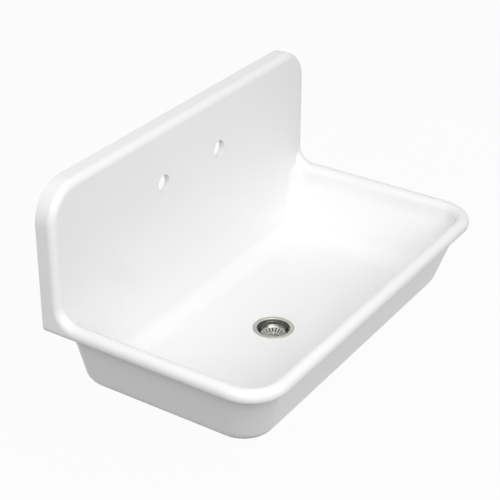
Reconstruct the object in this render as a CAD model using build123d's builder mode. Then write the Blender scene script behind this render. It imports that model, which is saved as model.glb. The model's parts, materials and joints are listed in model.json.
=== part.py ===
from build123d import *

import math
import os

os.makedirs("parts", exist_ok=True)

# A wall-hung kitchen sink in enamelled cast iron, with a high back panel and a basket strainer.
# Millimetres, +Z up, +Y towards the wall, +X to the right as seen from the front.
# The origin is the centre of the hanger screw pattern, on the wall plane.

# Casting: overall size
SINK_WIDTH = 914
SINK_DEPTH = 520
PANEL_HEIGHT = 320
PANEL_DEPTH = 42
HANGER_SHARE = 0.75

# Casting: rolled rim and panel border
RIM_SIZE = 31
ROLL_FLAT = 0.3
RIM_CORNER_RADIUS = 86
PANEL_CORNER_RADIUS = 78
JUNCTION_RADIUS = 35
CORNER_LAP = 2
CORNER_LEAST = 1
IRON = 8
WALL_TOP = 7
GROOVE_DEPTH = 22

# Casting: bowl
FLOOR_DEPTH = 138
FLOOR_FALL = 2
FLOOR_FALL_MARGIN = 100
FLOOR_THICKNESS = 13
WALL_SLOPE = 0.3
BACK_SLOPE = 0.04
WALL_EASE = 20
COVE_RADIUS = 50
BOTTOM_RADIUS = 60
BACK_COVE_RADIUS = 35
CORNER_GROWTH = 12
CORNER_EASE = 40
CORNER_SHRINK = 0.3
COVE_STEPS = 8
CORNER_STEPS = 6

# Faucet holes
FAUCET_SPACING = 203.2
FAUCET_HOLE_RADIUS = 19
FAUCET_HEIGHT = 194
FAUCET_BOSS_RADIUS = 30
FAUCET_BOSS_HEIGHT = 5

# Wall hangers and the hooks cast on the back of the panel
HANGER_SPACING = 406.4
HANGER_WIDTH = 70
HANGER_HEIGHT = 80
HANGER_PLATE = 5
HANGER_LIP = 6
HANGER_REACH = 22
HANGER_LEDGE_TOP = -3
HANGER_LIP_TOP = 12
HANGER_CORNER = 8
SCREW_SPACING = 54
SCREW_HOLE_RADIUS = 4
HOOK_WIDTH = 60
HOOK_THICKNESS = 8
TONGUE_THICKNESS = 6
TONGUE_LENGTH = 12
SEAT_GAP = 0.3

# Drain and strainer
DRAIN_BACK = 8
CUP_RADIUS = 34
CUP_BELOW_NECK = 7.2
CUP_CORNER_MARGIN = 2.2
LEDGE_WIDTH = 2
LEDGE_DROP = 7
NECK_WALL = 1.5
NECK_CLEARANCE = 1
FLANGE_WIDTH = 7
FLANGE_THICKNESS = 1.5
PUTTY_THICKNESS = 1.3
OUTLET_RADIUS = 20
SPOUT_WALL = 3.8
SPOUT_LENGTH = 25
STRAINER_WALL = 2
BOSS_MARGIN = 8
BOSS_HEIGHT = 3
GASKET_THICKNESS = 3
GASKET_MARGIN = 2
FRICTION_THICKNESS = 0.8
THREAD_CLEARANCE = 0.1
LOCKNUT_WIDTH = 8.5
LOCKNUT_HEIGHT = 10
LOCKNUT_FLANGE = 3
LOCKNUT_LUG = 5
LOCKNUT_LUG_WIDTH = 8
LOCKNUT_LUGS = 6

# Strainer crossbar
BAR_WIDTH = 6
BAR_THICKNESS = 3
BAR_DROP = 4.5
HUB_RADIUS = 7
HUB_HOLE_RADIUS = 3.3

# Basket
BASKET_SHEET = 1
BASKET_RAISE = 11.5
BASKET_TAPER = 13.5
BASKET_WAIST_IN = 5.5
BASKET_WAIST_RISE = 7.5
BASKET_SHOULDER = 4
BASKET_FIT = 0.4
SLOT_COUNT = 20
SLOT_WIDTH = 2.2
SLOT_FLOOR_MARGIN = 2
SLOT_WAIST_MARGIN = 1

# Stopper on its post
POST_RADIUS = 2.5
POST_CLEARANCE = 0.1
POST_BELOW_BAR = 5.5
KNOB_RADIUS = 5.5
KNOB_HEIGHT = 4.5
KNOB_RISE = 13.5
KNOB_CAP = 1.5
STOPPER_MARGIN = 2
STOPPER_THICKNESS = 3
BACKING_RADIUS = 13
BACKING_THICKNESS = 0.8
STOPPER_NUT_WIDTH = 5
STOPPER_NUT_HEIGHT = 3
RING_SECTION = 0.7

# Tailpiece and its coupling nut
TAIL_RADIUS = 19.05
TAIL_SHEET = 1.2
TAIL_LENGTH = 101.6
TAIL_FLANGE_CLEARANCE = 0.4
TAIL_FLANGE = 1.5
TAIL_WASHER = 1.5
COUPLING_WALL = 7.2
COUPLING_SIDES = 8
COUPLING_LIP = 4
COUPLING_GRIP = 12
COUPLING_CLEARANCE = 1

# Levels and places that follow
HALF_WIDTH = SINK_WIDTH / 2
ROLL_RADIUS = RIM_SIZE / 2 - ROLL_FLAT
RIM_Z = -HANGER_SHARE * PANEL_HEIGHT
RIM_TOP_Z = RIM_Z + RIM_SIZE
PANEL_TOP_Z = RIM_Z + PANEL_HEIGHT
CHEEK_Z = RIM_TOP_Z + JUNCTION_RADIUS + ROLL_RADIUS
CHEEK_END = SINK_DEPTH - RIM_CORNER_RADIUS - ROLL_RADIUS
FAUCET_Z = RIM_Z + FAUCET_HEIGHT
POCKET_FRONT = PANEL_DEPTH - IRON
DRAIN_Y = DRAIN_BACK - SINK_DEPTH / 2
DRAIN_Z = RIM_Z - FLOOR_DEPTH - FLOOR_FALL
FLOOR_FALL_RADIUS = SINK_DEPTH / 2 - FLOOR_FALL_MARGIN
UNDERSIDE_DEPTH = FLOOR_DEPTH + FLOOR_THICKNESS
UNDERSIDE_Z = RIM_Z - UNDERSIDE_DEPTH - BOSS_HEIGHT
FLANGE_SEAT = FLANGE_THICKNESS + PUTTY_THICKNESS
NECK_STACK = GASKET_THICKNESS + FRICTION_THICKNESS + LOCKNUT_HEIGHT + STRAINER_WALL
NECK_LENGTH = DRAIN_Z - UNDERSIDE_Z + NECK_STACK
CUP_BOTTOM = NECK_LENGTH + CUP_BELOW_NECK
CUP_CORNER = CUP_BELOW_NECK - CUP_CORNER_MARGIN
MOUTH_RADIUS = CUP_RADIUS + LEDGE_WIDTH
NECK_RADIUS = MOUTH_RADIUS + NECK_WALL
FLANGE_RADIUS = NECK_RADIUS + FLANGE_WIDTH
LOCKNUT_RADIUS = NECK_RADIUS + LOCKNUT_WIDTH
GASKET_RADIUS = LOCKNUT_RADIUS + GASKET_MARGIN
BOSS_RADIUS = GASKET_RADIUS + BOSS_MARGIN
SPOUT_RADIUS = OUTLET_RADIUS + SPOUT_WALL
SPOUT_BOTTOM = CUP_BOTTOM + SPOUT_LENGTH
TAIL_FLANGE_RADIUS = SPOUT_RADIUS - TAIL_FLANGE_CLEARANCE
COUPLING_RADIUS = SPOUT_RADIUS + COUPLING_WALL
BASKET_FLOOR = CUP_BOTTOM - BASKET_RAISE
BASKET_WAIST = BASKET_FLOOR - BASKET_WAIST_RISE
BASKET_WAIST_RADIUS = CUP_RADIUS - BASKET_WAIST_IN
BASKET_FLOOR_RADIUS = BASKET_WAIST_RADIUS - BASKET_TAPER
SLOT_INNER = BASKET_FLOOR_RADIUS + SLOT_FLOOR_MARGIN
SLOT_OUTER = BASKET_WAIST_RADIUS - SLOT_WAIST_MARGIN
STOPPER_RADIUS = CUP_RADIUS - CUP_CORNER - STOPPER_MARGIN
KNOB_TOP = BASKET_FLOOR - KNOB_RISE
BAR_TOP = CUP_BOTTOM + BAR_DROP
POST_BOTTOM = BAR_TOP + BAR_THICKNESS + POST_BELOW_BAR


def wall_run(depth, floor_depth, slope, cove):
    """How far a bowl wall has come in at a depth below the rim: eased, straight, then the cove."""
    lean = math.atan(slope)
    cove_centre = floor_depth - cove
    cove_start = cove_centre + cove * math.sin(lean)
    straight = min(depth, cove_start)
    if straight < WALL_EASE:
        run = slope * straight**2 / (2 * WALL_EASE)
    else:
        run = slope * (straight - WALL_EASE / 2)
    if depth > cove_start:
        run += cove * math.cos(lean) - math.sqrt(max(0, cove**2 - (depth - cove_centre) ** 2))
    return run


def level_depths(floor_depth, slope, cove):
    """Depths of the outlines that a bowl surface passes through: eased top, corner growth, then the cove."""
    lean = math.atan(slope)
    cove_centre = floor_depth - cove
    turn = (math.pi / 2 - lean) / COVE_STEPS
    curved = [cove_centre + cove * math.sin(lean + turn * step) for step in range(COVE_STEPS + 1)]
    return [0, WALL_EASE / 2, WALL_EASE, CORNER_EASE] + curved


def bowl_outline(depth, floor_depth, cove, inset, back):
    """The bowl's outline at one depth: a rectangle with its front and back corners rounded."""
    side_run = wall_run(depth, floor_depth, WALL_SLOPE, cove)
    back_run = wall_run(depth, floor_depth, BACK_SLOPE, cove)
    cove_run = max(0, depth - floor_depth + cove) * CORNER_SHRINK
    growth = CORNER_GROWTH * min(depth / CORNER_EASE, 1)
    front_radius = RIM_CORNER_RADIUS - inset + growth - cove_run
    back_radius = BACK_COVE_RADIUS + RIM_SIZE - inset - cove_run
    front_y = -SINK_DEPTH + inset + side_run
    back_y = -back - back_run
    with BuildSketch(Plane.XY.offset(RIM_Z - depth)) as outline:
        with Locations((0, (front_y + back_y) / 2)):
            Rectangle(SINK_WIDTH - 2 * (inset + side_run), back_y - front_y)
        fillet(outline.vertices().group_by(Axis.Y)[0], front_radius)
        fillet(outline.vertices().group_by(Axis.Y)[-1], back_radius)
    return outline.sketch.faces()[0]


def bowl_levels(floor_depth, cove, inset, back):
    """All the outlines of one bowl surface, from the rim down to its floor."""
    depths = level_depths(floor_depth, WALL_SLOPE, cove)
    return [bowl_outline(depth, floor_depth, cove, inset, back) for depth in depths]


# Side of the rim, and the corner where it turns up into the panel's border
with BuildPart() as cheek:
    with BuildSketch(Plane.YZ.offset(-HALF_WIDTH)) as cheek_side:
        with BuildLine():
            Polyline(
                (0, RIM_Z),
                (0, CHEEK_Z),
                (-PANEL_DEPTH, CHEEK_Z),
                (-PANEL_DEPTH, RIM_TOP_Z),
                (-CHEEK_END, RIM_TOP_Z),
                (-CHEEK_END, RIM_Z),
                close=True,
            )
        make_face()
        inner_corner = cheek_side.vertices().sort_by_distance((-PANEL_DEPTH, RIM_TOP_Z))[0]
        fillet(inner_corner, JUNCTION_RADIUS)
    extrude(amount=RIM_SIZE)
    rim_top = cheek.faces().filter_by(Axis.Z).sort_by(Axis.Z)[1]
    border_front = cheek.faces().filter_by(Axis.Y).sort_by(Axis.Y)[1]
    junction = cheek.faces().filter_by(GeomType.CYLINDER)[0]
    rolled_faces = ShapeList([rim_top, border_front, junction])
    fillet(rolled_faces.edges().filter_by(Axis.X, reverse=True), ROLL_RADIUS)
    under_edges = cheek.edges().filter_by(Axis.Y).group_by(Axis.Z)[0]
    fillet(under_edges.sort_by(Axis.X)[0], ROLL_RADIUS)

# Rolled rim round the front
rim_start = Plane(origin=(-HALF_WIDTH, -CHEEK_END, RIM_Z), x_dir=(1, 0, 0), z_dir=(0, -1, 0))
with BuildPart() as front_roll:
    with BuildLine() as front_path:
        FilletPolyline(
            (-HALF_WIDTH, -CHEEK_END, RIM_Z),
            (-HALF_WIDTH, -SINK_DEPTH, RIM_Z),
            (HALF_WIDTH, -SINK_DEPTH, RIM_Z),
            (HALF_WIDTH, -CHEEK_END, RIM_Z),
            radius=RIM_CORNER_RADIUS,
        )
    with BuildSketch(rim_start) as roll_section:
        Rectangle(RIM_SIZE, RIM_SIZE, align=(Align.MIN, Align.MIN))
        rounded = roll_section.vertices().sort_by_distance((RIM_SIZE, 0))[1:]
        fillet(rounded, ROLL_RADIUS)
    sweep(path=front_path.wires()[0])

# Cove between the rim and the panel in the bowl's back corner, which fades out where the rim turns up
corner_x = -HALF_WIDTH + RIM_SIZE
turn_radius = JUNCTION_RADIUS + ROLL_RADIUS
last_turn = math.asin((JUNCTION_RADIUS - CORNER_LEAST) / turn_radius)


def corner_wedge(height, radius):
    """The cove's outline at a height above the rim's underside: a corner with a round hollow in it."""
    with BuildSketch(Plane(origin=(corner_x, -PANEL_DEPTH, RIM_Z + height))) as wedge:
        with Locations((-CORNER_LAP, CORNER_LAP)):
            Rectangle(radius + CORNER_LAP, radius + CORNER_LAP, align=(Align.MIN, Align.MAX))
        with Locations((radius, -radius)):
            Circle(radius, mode=Mode.SUBTRACT)
    return wedge.sketch.faces().sort_by(Axis.X)[0]


corner_turns = [last_turn * step / CORNER_STEPS for step in range(CORNER_STEPS + 1)]
corner_levels = [corner_wedge(0, BACK_COVE_RADIUS)]
for turn in corner_turns:
    fade = (JUNCTION_RADIUS - turn_radius * math.sin(turn)) / JUNCTION_RADIUS
    height = RIM_SIZE + JUNCTION_RADIUS - turn_radius * math.cos(turn)
    corner_levels.append(corner_wedge(height, BACK_COVE_RADIUS * fade))
with BuildPart() as corner_cove:
    loft(corner_levels, ruled=True)

# Back panel above the corners, with its rolled border
with BuildPart() as panel:
    with BuildSketch(Plane.XZ) as panel_outline:
        with Locations((0, CHEEK_Z)):
            Rectangle(SINK_WIDTH, PANEL_TOP_Z - CHEEK_Z, align=(Align.CENTER, Align.MIN))
        fillet(panel_outline.vertices().group_by(Axis.Y)[-1], PANEL_CORNER_RADIUS)
    extrude(amount=PANEL_DEPTH)
    border = panel.faces().sort_by(Axis.Y)[0].edges().sort_by(Axis.Z)[1:]
    fillet(border, ROLL_RADIUS)

# Bowl, as the space between an outer and an inner surface
with BuildPart() as bowl_outside:
    loft(bowl_levels(UNDERSIDE_DEPTH, BOTTOM_RADIUS, RIM_SIZE - WALL_TOP, POCKET_FRONT), ruled=True)
with BuildPart() as bowl_inside:
    loft(bowl_levels(FLOOR_DEPTH, COVE_RADIUS, RIM_SIZE, PANEL_DEPTH), ruled=True)

# Hollow under the rolled rim
groove_start = Plane(origin=(-HALF_WIDTH, -IRON, RIM_Z), x_dir=(1, 0, 0), z_dir=(0, -1, 0))
with BuildPart() as rim_groove:
    with BuildLine() as groove_path:
        FilletPolyline(
            (-HALF_WIDTH, -IRON, RIM_Z),
            (-HALF_WIDTH, -SINK_DEPTH, RIM_Z),
            (HALF_WIDTH, -SINK_DEPTH, RIM_Z),
            (HALF_WIDTH, -IRON, RIM_Z),
            radius=RIM_CORNER_RADIUS,
        )
    with BuildSketch(groove_start):
        with Locations((IRON, 0)):
            Rectangle(RIM_SIZE - WALL_TOP - IRON, GROOVE_DEPTH, align=(Align.MIN, Align.MIN))
    sweep(path=groove_path.wires()[0])

# The whole casting
hook_top = HANGER_LIP_TOP + HOOK_THICKNESS
tongue_front = HANGER_REACH - HANGER_LIP - SEAT_GAP
with BuildPart() as sink_body:
    add(cheek.part)
    mirror(cheek.part, about=Plane.YZ)
    add(front_roll.part)
    add(corner_cove.part)
    mirror(corner_cove.part, about=Plane.YZ)
    add(panel.part)
    with BuildSketch(Plane.XZ):
        with Locations((0, RIM_Z)):
            Rectangle(SINK_WIDTH - RIM_SIZE, CHEEK_Z - RIM_Z, align=(Align.CENTER, Align.MIN))
    extrude(amount=PANEL_DEPTH)
    add(rim_groove.part, mode=Mode.SUBTRACT)
    with BuildSketch(Plane.XZ) as pocket_outline:
        with Locations((0, RIM_Z - IRON)):
            Rectangle(
                SINK_WIDTH - 2 * IRON,
                PANEL_HEIGHT,
                align=(Align.CENTER, Align.MIN),
            )
        fillet(pocket_outline.vertices().group_by(Axis.Y)[-1], PANEL_CORNER_RADIUS - IRON)
    extrude(amount=POCKET_FRONT, mode=Mode.SUBTRACT)
    add(bowl_outside.part)
    add(bowl_inside.part, mode=Mode.SUBTRACT)
    with BuildSketch(Plane.XZ.offset(POCKET_FRONT)):
        with Locations((0, FAUCET_Z)):
            with GridLocations(FAUCET_SPACING, 0, 2, 1):
                Circle(FAUCET_BOSS_RADIUS)
    extrude(amount=-FAUCET_BOSS_HEIGHT)
    with BuildSketch(Plane.XZ.offset(PANEL_DEPTH)):
        with Locations((0, FAUCET_Z)):
            with GridLocations(FAUCET_SPACING, 0, 2, 1):
                Circle(FAUCET_HOLE_RADIUS)
    extrude(amount=-PANEL_DEPTH, mode=Mode.SUBTRACT)
    for side in (-1, 1):
        with BuildSketch(Plane.YZ.offset(side * HANGER_SPACING / 2)):
            with BuildLine():
                Polyline(
                    (-POCKET_FRONT - IRON / 2, HANGER_LIP_TOP),
                    (-POCKET_FRONT - IRON / 2, hook_top),
                    (-tongue_front + TONGUE_THICKNESS, hook_top),
                    (-tongue_front + TONGUE_THICKNESS, HANGER_LIP_TOP - TONGUE_LENGTH),
                    (-tongue_front, HANGER_LIP_TOP - TONGUE_LENGTH),
                    (-tongue_front, HANGER_LIP_TOP),
                    close=True,
                )
            make_face()
        extrude(amount=HOOK_WIDTH / 2, both=True)
    with Locations((0, DRAIN_Y, RIM_Z - UNDERSIDE_DEPTH)):
        Cylinder(BOSS_RADIUS, BOSS_HEIGHT, align=(Align.CENTER, Align.CENTER, Align.MAX))
    with Locations((0, DRAIN_Y, RIM_Z - FLOOR_DEPTH)):
        Cone(
            FLANGE_RADIUS,
            FLOOR_FALL_RADIUS,
            FLOOR_FALL,
            align=(Align.CENTER, Align.CENTER, Align.MAX),
            mode=Mode.SUBTRACT,
        )
    with Locations((0, DRAIN_Y, DRAIN_Z)):
        CounterBoreHole(NECK_RADIUS + NECK_CLEARANCE, FLANGE_RADIUS + NECK_CLEARANCE, FLANGE_SEAT)
sink_body.part.label = "sink_body"
export_step(sink_body.part, "parts/sink_body.step")

# Wall hangers, each with an upturned lip that the casting's hook drops over
hanger_places = {"left": -HANGER_SPACING / 2, "right": HANGER_SPACING / 2}
for side_name, hanger_x in hanger_places.items():
    with BuildPart() as wall_hanger:
        with BuildSketch(Plane.XZ) as hanger_plate:
            with Locations((hanger_x, 0)):
                RectangleRounded(HANGER_WIDTH, HANGER_HEIGHT, HANGER_CORNER)
        extrude(amount=HANGER_PLATE)
        with BuildSketch(Plane.YZ.offset(hanger_x)) as hanger_lip:
            with BuildLine():
                Polyline(
                    (-HANGER_PLATE, HANGER_LEDGE_TOP),
                    (-HANGER_REACH + HANGER_LIP, HANGER_LEDGE_TOP),
                    (-HANGER_REACH + HANGER_LIP, HANGER_LIP_TOP),
                    (-HANGER_REACH, HANGER_LIP_TOP),
                    (-HANGER_REACH, HANGER_LEDGE_TOP - HANGER_LIP),
                    (-HANGER_PLATE, HANGER_LEDGE_TOP - HANGER_LIP),
                    close=True,
                )
            make_face()
            bend = hanger_lip.vertices().sort_by_distance((-HANGER_REACH, HANGER_LEDGE_TOP - HANGER_LIP))[0]
            fillet(bend, HANGER_LIP - SEAT_GAP)
        extrude(amount=HANGER_WIDTH / 2, both=True)
        with Locations(Plane(origin=(hanger_x, -HANGER_PLATE, 0), x_dir=(1, 0, 0), z_dir=(0, -1, 0))):
            with GridLocations(0, SCREW_SPACING, 1, 2):
                Hole(SCREW_HOLE_RADIUS, HANGER_PLATE)
    wall_hanger.part.label = "wall_hanger_" + side_name
    export_step(wall_hanger.part, "parts/wall_hanger_" + side_name + ".step")

# Levels inside the strainer, measured from the floor of the bowl
drain_section = Plane(origin=(0, DRAIN_Y, DRAIN_Z), x_dir=(1, 0, 0), z_dir=(0, -1, 0))
drain_axis = Axis((0, DRAIN_Y, DRAIN_Z), (0, 0, 1))
underside = UNDERSIDE_Z - DRAIN_Z
gasket_bottom = underside - GASKET_THICKNESS
friction_bottom = gasket_bottom - FRICTION_THICKNESS
shell_radius = CUP_RADIUS + STRAINER_WALL
shell_bottom = -CUP_BOTTOM - STRAINER_WALL
washer_top = -SPOUT_BOTTOM
tail_top = washer_top - TAIL_WASHER
tail_flange_bottom = tail_top - TAIL_FLANGE
coupling_bottom = tail_flange_bottom - COUPLING_LIP


def drain_plane(level):
    """A level plane on the drain's axis, at a height above the bowl's floor."""
    return Plane(origin=(0, DRAIN_Y, DRAIN_Z + level))


# Strainer body: flange, threaded neck, ledge for the basket, cup and spout
with BuildPart() as strainer_body:
    with BuildSketch(drain_section) as body_profile:
        with BuildLine():
            Polyline(
                (MOUTH_RADIUS, 0),
                (FLANGE_RADIUS, 0),
                (FLANGE_RADIUS, -FLANGE_THICKNESS),
                (NECK_RADIUS, -FLANGE_THICKNESS),
                (NECK_RADIUS, -NECK_LENGTH),
                (shell_radius, -NECK_LENGTH - STRAINER_WALL),
                (shell_radius, shell_bottom),
                (SPOUT_RADIUS, shell_bottom),
                (SPOUT_RADIUS, -SPOUT_BOTTOM),
                (OUTLET_RADIUS, -SPOUT_BOTTOM),
                (OUTLET_RADIUS, -CUP_BOTTOM),
                (CUP_RADIUS, -CUP_BOTTOM),
                (CUP_RADIUS, -LEDGE_DROP),
                (MOUTH_RADIUS, -LEDGE_DROP),
                close=True,
            )
        make_face()
        shell_corner = body_profile.vertices().sort_by_distance((shell_radius, shell_bottom))[0]
        chamfer(shell_corner, CUP_CORNER + STRAINER_WALL / 2)
        cup_corner = body_profile.vertices().sort_by_distance((CUP_RADIUS, -CUP_BOTTOM))[0]
        chamfer(cup_corner, CUP_CORNER)
        mouth_edge = body_profile.vertices().sort_by_distance((MOUTH_RADIUS, 0))[0]
        chamfer(mouth_edge, FLANGE_THICKNESS)
        flange_edge = body_profile.vertices().sort_by_distance((FLANGE_RADIUS, 0))[0]
        chamfer(flange_edge, FLANGE_THICKNESS / 2)
    revolve(axis=drain_axis)
strainer_body.part.label = "strainer_body"
export_step(strainer_body.part, "parts/strainer_body.step")

# Crossbar in the spout, which guides the post
with BuildPart() as strainer_crossbar:
    with BuildSketch(drain_plane(-BAR_TOP)):
        Rectangle(2 * OUTLET_RADIUS, BAR_WIDTH)
        Rectangle(BAR_WIDTH, 2 * OUTLET_RADIUS)
        Circle(HUB_RADIUS)
        Circle(OUTLET_RADIUS, mode=Mode.INTERSECT)
        Circle(HUB_HOLE_RADIUS, mode=Mode.SUBTRACT)
    extrude(amount=-BAR_THICKNESS)
strainer_crossbar.part.label = "strainer_crossbar"
export_step(strainer_crossbar.part, "parts/strainer_crossbar.step")

# Putty bed under the flange
with BuildPart() as putty_ring:
    with BuildSketch(drain_plane(-FLANGE_SEAT)):
        Circle(FLANGE_RADIUS)
        Circle(NECK_RADIUS + NECK_CLEARANCE, mode=Mode.SUBTRACT)
    extrude(amount=PUTTY_THICKNESS)
putty_ring.part.label = "putty_ring"
export_step(putty_ring.part, "parts/putty_ring.step")

# Rubber gasket under the bowl
with BuildPart() as body_gasket:
    with BuildSketch(drain_plane(underside)):
        Circle(GASKET_RADIUS)
        Circle(NECK_RADIUS + THREAD_CLEARANCE, mode=Mode.SUBTRACT)
    extrude(amount=-GASKET_THICKNESS)
body_gasket.part.label = "body_gasket"
export_step(body_gasket.part, "parts/body_gasket.step")

# Friction ring between the gasket and the locknut
with BuildPart() as friction_ring:
    with BuildSketch(drain_plane(gasket_bottom)):
        Circle(GASKET_RADIUS)
        Circle(NECK_RADIUS + THREAD_CLEARANCE, mode=Mode.SUBTRACT)
    extrude(amount=-FRICTION_THICKNESS)
friction_ring.part.label = "friction_ring"
export_step(friction_ring.part, "parts/friction_ring.step")

# Locknut: a thin bearing ring, a collar and lugs for a spanner
with BuildPart() as locknut:
    with BuildSketch(drain_plane(friction_bottom)):
        Circle(LOCKNUT_RADIUS)
    extrude(amount=-LOCKNUT_FLANGE)
    with BuildSketch(drain_plane(friction_bottom)):
        Circle(LOCKNUT_RADIUS - LOCKNUT_LUG)
        with PolarLocations(LOCKNUT_RADIUS - LOCKNUT_LUG / 2, LOCKNUT_LUGS):
            Rectangle(2 * LOCKNUT_LUG, LOCKNUT_LUG_WIDTH)
    extrude(amount=-LOCKNUT_HEIGHT)
    with BuildSketch(drain_plane(friction_bottom)):
        Circle(NECK_RADIUS + THREAD_CLEARANCE)
    extrude(amount=-LOCKNUT_HEIGHT, mode=Mode.SUBTRACT)
locknut.part.label = "locknut"
export_step(locknut.part, "parts/locknut.step")

# Basket cup: pressed sheet with a rolled lip, a waist and a slotted cone
basket_radius = CUP_RADIUS - BASKET_FIT
lip_level = -LEDGE_DROP + SEAT_GAP
shoulder_level = -LEDGE_DROP - BASKET_SHOULDER
with BuildPart() as basket_cup:
    with BuildSketch(drain_section) as basket_profile:
        with BuildLine():
            Polyline(
                (MOUTH_RADIUS - BASKET_FIT, lip_level),
                (basket_radius, lip_level),
                (basket_radius, shoulder_level),
                (BASKET_WAIST_RADIUS, -BASKET_WAIST),
                (BASKET_FLOOR_RADIUS, -BASKET_FLOOR),
                (POST_RADIUS + POST_CLEARANCE, -BASKET_FLOOR),
            )
            offset(amount=BASKET_SHEET, kind=Kind.INTERSECTION, side=Side.RIGHT)
        make_face()
    revolve(axis=drain_axis)
    with BuildSketch(drain_plane(shoulder_level)):
        with PolarLocations((SLOT_INNER + SLOT_OUTER) / 2, SLOT_COUNT):
            Rectangle(SLOT_OUTER - SLOT_INNER, SLOT_WIDTH)
    extrude(amount=-BASKET_FLOOR, mode=Mode.SUBTRACT)
basket_cup.part.label = "basket_cup"
export_step(basket_cup.part, "parts/basket_cup.step")

# Post that carries the stopper through the basket
with BuildPart() as basket_post:
    with BuildSketch(drain_plane(-KNOB_TOP - KNOB_CAP)):
        Circle(POST_RADIUS)
    extrude(amount=-POST_BOTTOM + KNOB_TOP + KNOB_CAP)
    chamfer(basket_post.edges().group_by(Axis.Z)[0], POST_RADIUS / 2)
basket_post.part.label = "basket_post"
export_step(basket_post.part, "parts/basket_post.step")

# Knob pressed on the top of the post
with BuildPart() as basket_knob:
    with BuildSketch(drain_section) as knob_profile:
        with BuildLine():
            Polyline(
                (0, -KNOB_TOP),
                (KNOB_RADIUS, -KNOB_TOP),
                (KNOB_RADIUS, -KNOB_TOP - KNOB_HEIGHT / 2),
                (POST_RADIUS + KNOB_CAP, -KNOB_TOP - KNOB_HEIGHT),
                (POST_RADIUS, -KNOB_TOP - KNOB_HEIGHT),
                (POST_RADIUS, -KNOB_TOP - KNOB_CAP),
                (0, -KNOB_TOP - KNOB_CAP),
                close=True,
            )
        make_face()
        knob_edge = knob_profile.vertices().sort_by_distance((KNOB_RADIUS, -KNOB_TOP))[0]
        chamfer(knob_edge, KNOB_CAP / 2)
    revolve(axis=drain_axis)
basket_knob.part.label = "basket_knob"
export_step(basket_knob.part, "parts/basket_knob.step")

# Rubber stopper, its backing washer and the nut that clamps it to the post
stopper_bottom = -CUP_BOTTOM + SEAT_GAP
stopper_top = stopper_bottom + STOPPER_THICKNESS
with BuildPart() as basket_stopper:
    with BuildSketch(drain_plane(stopper_bottom)):
        Circle(STOPPER_RADIUS)
        Circle(POST_RADIUS, mode=Mode.SUBTRACT)
    extrude(amount=STOPPER_THICKNESS)
    stopper_rim = basket_stopper.edges().filter_by(GeomType.CIRCLE).sort_by(SortBy.RADIUS)[-2:]
    chamfer(stopper_rim, STOPPER_THICKNESS / 4)
basket_stopper.part.label = "basket_stopper"
export_step(basket_stopper.part, "parts/basket_stopper.step")

with BuildPart() as stopper_washer:
    with BuildSketch(drain_plane(stopper_top)):
        Circle(BACKING_RADIUS)
        Circle(POST_RADIUS, mode=Mode.SUBTRACT)
    extrude(amount=BACKING_THICKNESS)
stopper_washer.part.label = "stopper_washer"
export_step(stopper_washer.part, "parts/stopper_washer.step")

with BuildPart() as stopper_nut:
    with BuildSketch(drain_plane(stopper_bottom)):
        RegularPolygon(STOPPER_NUT_WIDTH, 6, major_radius=False)
        Circle(POST_RADIUS, mode=Mode.SUBTRACT)
    extrude(amount=-STOPPER_NUT_HEIGHT)
stopper_nut.part.label = "stopper_nut"
export_step(stopper_nut.part, "parts/stopper_nut.step")

# Snap ring that centres the post in the crossbar
with BuildPart() as post_ring:
    with BuildSketch(drain_section):
        with Locations((POST_RADIUS, -BAR_TOP - BAR_THICKNESS / 2)):
            Rectangle(RING_SECTION, RING_SECTION, align=(Align.MIN, Align.CENTER))
    revolve(axis=drain_axis)
post_ring.part.label = "post_ring"
export_step(post_ring.part, "parts/post_ring.step")

# Coupling nut that draws the tailpiece up to the spout
with BuildPart() as coupling_nut:
    with BuildSketch(drain_plane(washer_top + COUPLING_GRIP)):
        RegularPolygon(COUPLING_RADIUS, COUPLING_SIDES)
    extrude(amount=tail_flange_bottom - washer_top - COUPLING_GRIP)
    with BuildSketch(drain_plane(tail_flange_bottom)):
        Circle(SPOUT_RADIUS + COUPLING_LIP / 2)
    extrude(amount=-COUPLING_LIP)
    with BuildSketch(drain_plane(washer_top + COUPLING_GRIP)):
        Circle(SPOUT_RADIUS + THREAD_CLEARANCE)
    extrude(amount=tail_flange_bottom - washer_top - COUPLING_GRIP, mode=Mode.SUBTRACT)
    with BuildSketch(drain_plane(tail_flange_bottom)):
        Circle(TAIL_RADIUS + COUPLING_CLEARANCE)
    extrude(amount=-COUPLING_LIP, mode=Mode.SUBTRACT)
coupling_nut.part.label = "coupling_nut"
export_step(coupling_nut.part, "parts/coupling_nut.step")

# Washer between the spout and the tailpiece
with BuildPart() as tailpiece_washer:
    with BuildSketch(drain_plane(washer_top)):
        Circle(TAIL_FLANGE_RADIUS)
        Circle(OUTLET_RADIUS, mode=Mode.SUBTRACT)
    extrude(amount=-TAIL_WASHER)
tailpiece_washer.part.label = "tailpiece_washer"
export_step(tailpiece_washer.part, "parts/tailpiece_washer.step")

# Flanged tailpiece
with BuildPart() as tailpiece:
    with BuildSketch(drain_plane(tail_top)):
        Circle(TAIL_FLANGE_RADIUS)
    extrude(amount=-TAIL_FLANGE)
    with BuildSketch(drain_plane(tail_top)):
        Circle(TAIL_RADIUS)
    extrude(amount=-TAIL_LENGTH)
    with BuildSketch(drain_plane(tail_top)):
        Circle(TAIL_RADIUS - TAIL_SHEET)
    extrude(amount=-TAIL_LENGTH, mode=Mode.SUBTRACT)
tailpiece.part.label = "tailpiece"
export_step(tailpiece.part, "parts/tailpiece.step")
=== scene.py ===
import json
import math

import bmesh
import bpy
from bpy.props import FloatProperty, FloatVectorProperty, PointerProperty
from bpy.types import Operator, Panel, PropertyGroup
from mathutils import Matrix, Vector


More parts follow.
